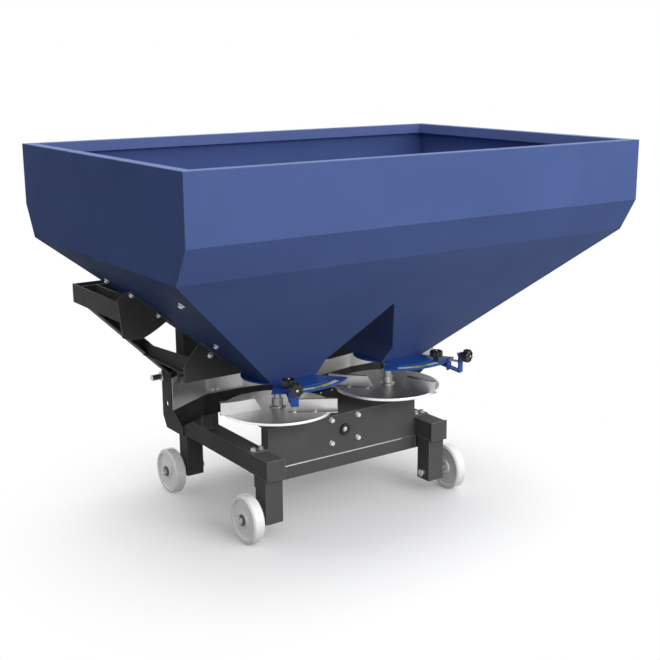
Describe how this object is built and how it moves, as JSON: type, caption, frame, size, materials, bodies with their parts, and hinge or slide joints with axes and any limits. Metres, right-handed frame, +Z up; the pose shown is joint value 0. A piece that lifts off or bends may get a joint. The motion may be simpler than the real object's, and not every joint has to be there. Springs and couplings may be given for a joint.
{
  "type": "fertiliser spreader",
  "caption": "Mounted twin-disc fertiliser spreader with a sheet-metal hopper, dosing shutters, bevel-geared spreading discs and a wheeled frame for a tractor's three-point linkage.",
  "frame": {"origin": "on the floor under the middle of the hopper", "axes": "+X across the machine, +Y towards the tractor, +Z up"},
  "size_m": [2.08, 1.41, 1.565],
  "materials": {
    "hopper_paint": "semi-gloss",
    "meter_paint": "semi-gloss",
    "frame_paint": "satin",
    "stainless": "brushed",
    "steel": "turned",
    "housing": "painted",
    "nylon": "matte",
    "knob": "matte"
  },
  "bodies": {
    "frame": {"hopper_rear_panel": "hopper_paint", "hopper_front_panel": "hopper_paint", "hopper_left_end": "hopper_paint", "hopper_right_end": "hopper_paint", "hopper_divider": "hopper_paint", "hopper_rim": "hopper_paint", "outlet_floor_left": "meter_paint", "outlet_floor_right": "meter_paint", "centre_gearbox": "housing", "centre_gearbox_cover": "housing", "side_gearbox_left": "housing", "side_gearbox_right": "housing", "side_gearbox_covers": "housing", "base_rail_left": "frame_paint", "base_rail_right": "frame_paint", "rear_leg_left": "frame_paint", "rear_leg_right": "frame_paint", "front_post_left": "frame_paint", "front_post_right": "frame_paint", "rear_cross_beam": "frame_paint", "front_cross_tube": "frame_paint", "hitch_plate_left": "frame_paint", "hitch_plate_right": "frame_paint", "lower_hitch_pins": "steel", "diagonal_struts": "frame_paint", "upper_front_beam": "frame_paint", "upper_side_rails": "frame_paint", "hopper_gussets": "frame_paint", "hopper_supports": "frame_paint", "top_link_mast": "frame_paint", "disc_shield_left": "stainless", "disc_shield_right": "stainless", "axle_bolts": "steel"},
    "left_disc_group": {"spreading_disc_left": "stainless", "throwing_vanes_left": "stainless", "disc_hub_left": "steel", "disc_shaft_left": "steel", "agitator_left": "steel", "disc_gear_left": "steel"},
    "right_disc_group": {"spreading_disc_right": "stainless", "throwing_vanes_right": "stainless", "disc_hub_right": "steel", "disc_shaft_right": "steel", "agitator_right": "steel", "disc_gear_right": "steel"},
    "cross_drive": {"cross_shaft": "steel", "cross_pinion": "steel", "side_pinions": "steel"},
    "input_drive": {"input_shaft": "steel", "input_gear": "steel"},
    "left_shutter_group": {"dosing_shutter_left": "meter_paint", "lever_grip_left": "knob"},
    "right_shutter_group": {"dosing_shutter_right": "meter_paint", "lever_grip_right": "knob"},
    "left_locking_knob": {"locking_knob_left": "knob"},
    "right_locking_knob": {"locking_knob_right": "knob"},
    "rear_left_wheel": {"wheel_rear_left": "nylon"},
    "rear_right_wheel": {"wheel_rear_right": "nylon"},
    "front_left_wheel": {"wheel_front_left": "nylon"},
    "front_right_wheel": {"wheel_front_right": "nylon"}
  },
  "joints": [
    {"name": "left_disc_spin", "type": "hinge", "parent": "frame", "child": "left_disc_group", "pos_m": [-0.285, -0.011, 0.494], "axis": [0, 0, 1], "continuous": true},
    {"name": "right_disc_spin", "type": "hinge", "parent": "frame", "child": "right_disc_group", "pos_m": [0.285, -0.011, 0.494], "axis": [0, 0, 1], "continuous": true},
    {"name": "cross_shaft_spin", "type": "hinge", "parent": "frame", "child": "cross_drive", "pos_m": [0, -0.011, 0.36], "axis": [1, 0, 0], "continuous": true},
    {"name": "input_shaft_spin", "type": "hinge", "parent": "frame", "child": "input_drive", "pos_m": [0, -0.011, 0.36], "axis": [0, 1, 0], "continuous": true},
    {"name": "left_shutter_swing", "type": "hinge", "parent": "frame", "child": "left_shutter_group", "pos_m": [-0.285, -0.011, 0.631], "axis": [0, 0, 1], "range_deg": [0, 45]},
    {"name": "right_shutter_swing", "type": "hinge", "parent": "frame", "child": "right_shutter_group", "pos_m": [0.285, -0.011, 0.631], "axis": [0, 0, 1], "range_deg": [-45, 0]},
    {"name": "left_knob_turn", "type": "hinge", "parent": "left_shutter_group", "child": "left_locking_knob", "pos_m": [-0.37316, -0.24066, 0.66], "axis": [0, 0, 1], "range_deg": [0, 360]},
    {"name": "right_knob_turn", "type": "hinge", "parent": "right_shutter_group", "child": "right_locking_knob", "pos_m": [0.37316, -0.24066, 0.66], "axis": [0, 0, 1], "range_deg": [0, 360]},
    {"name": "rear_left_wheel_roll", "type": "hinge", "parent": "frame", "child": "rear_left_wheel", "pos_m": [-0.523, -0.155, 0.1], "axis": [1, 0, 0], "continuous": true},
    {"name": "rear_right_wheel_roll", "type": "hinge", "parent": "frame", "child": "rear_right_wheel", "pos_m": [0.523, -0.155, 0.1], "axis": [1, 0, 0], "continuous": true},
    {"name": "front_left_wheel_roll", "type": "hinge", "parent": "frame", "child": "front_left_wheel", "pos_m": [-0.523, 0.517, 0.1], "axis": [1, 0, 0], "continuous": true},
    {"name": "front_right_wheel_roll", "type": "hinge", "parent": "frame", "child": "front_right_wheel", "pos_m": [0.523, 0.517, 0.1], "axis": [1, 0, 0], "continuous": true}
  ],
  "couplings": [
    {"joint": "right_disc_spin", "follows": "left_disc_spin", "ratio": -1},
    {"joint": "cross_shaft_spin", "follows": "left_disc_spin", "ratio": -1},
    {"joint": "input_shaft_spin", "follows": "left_disc_spin", "ratio": 0.75}
  ]
}
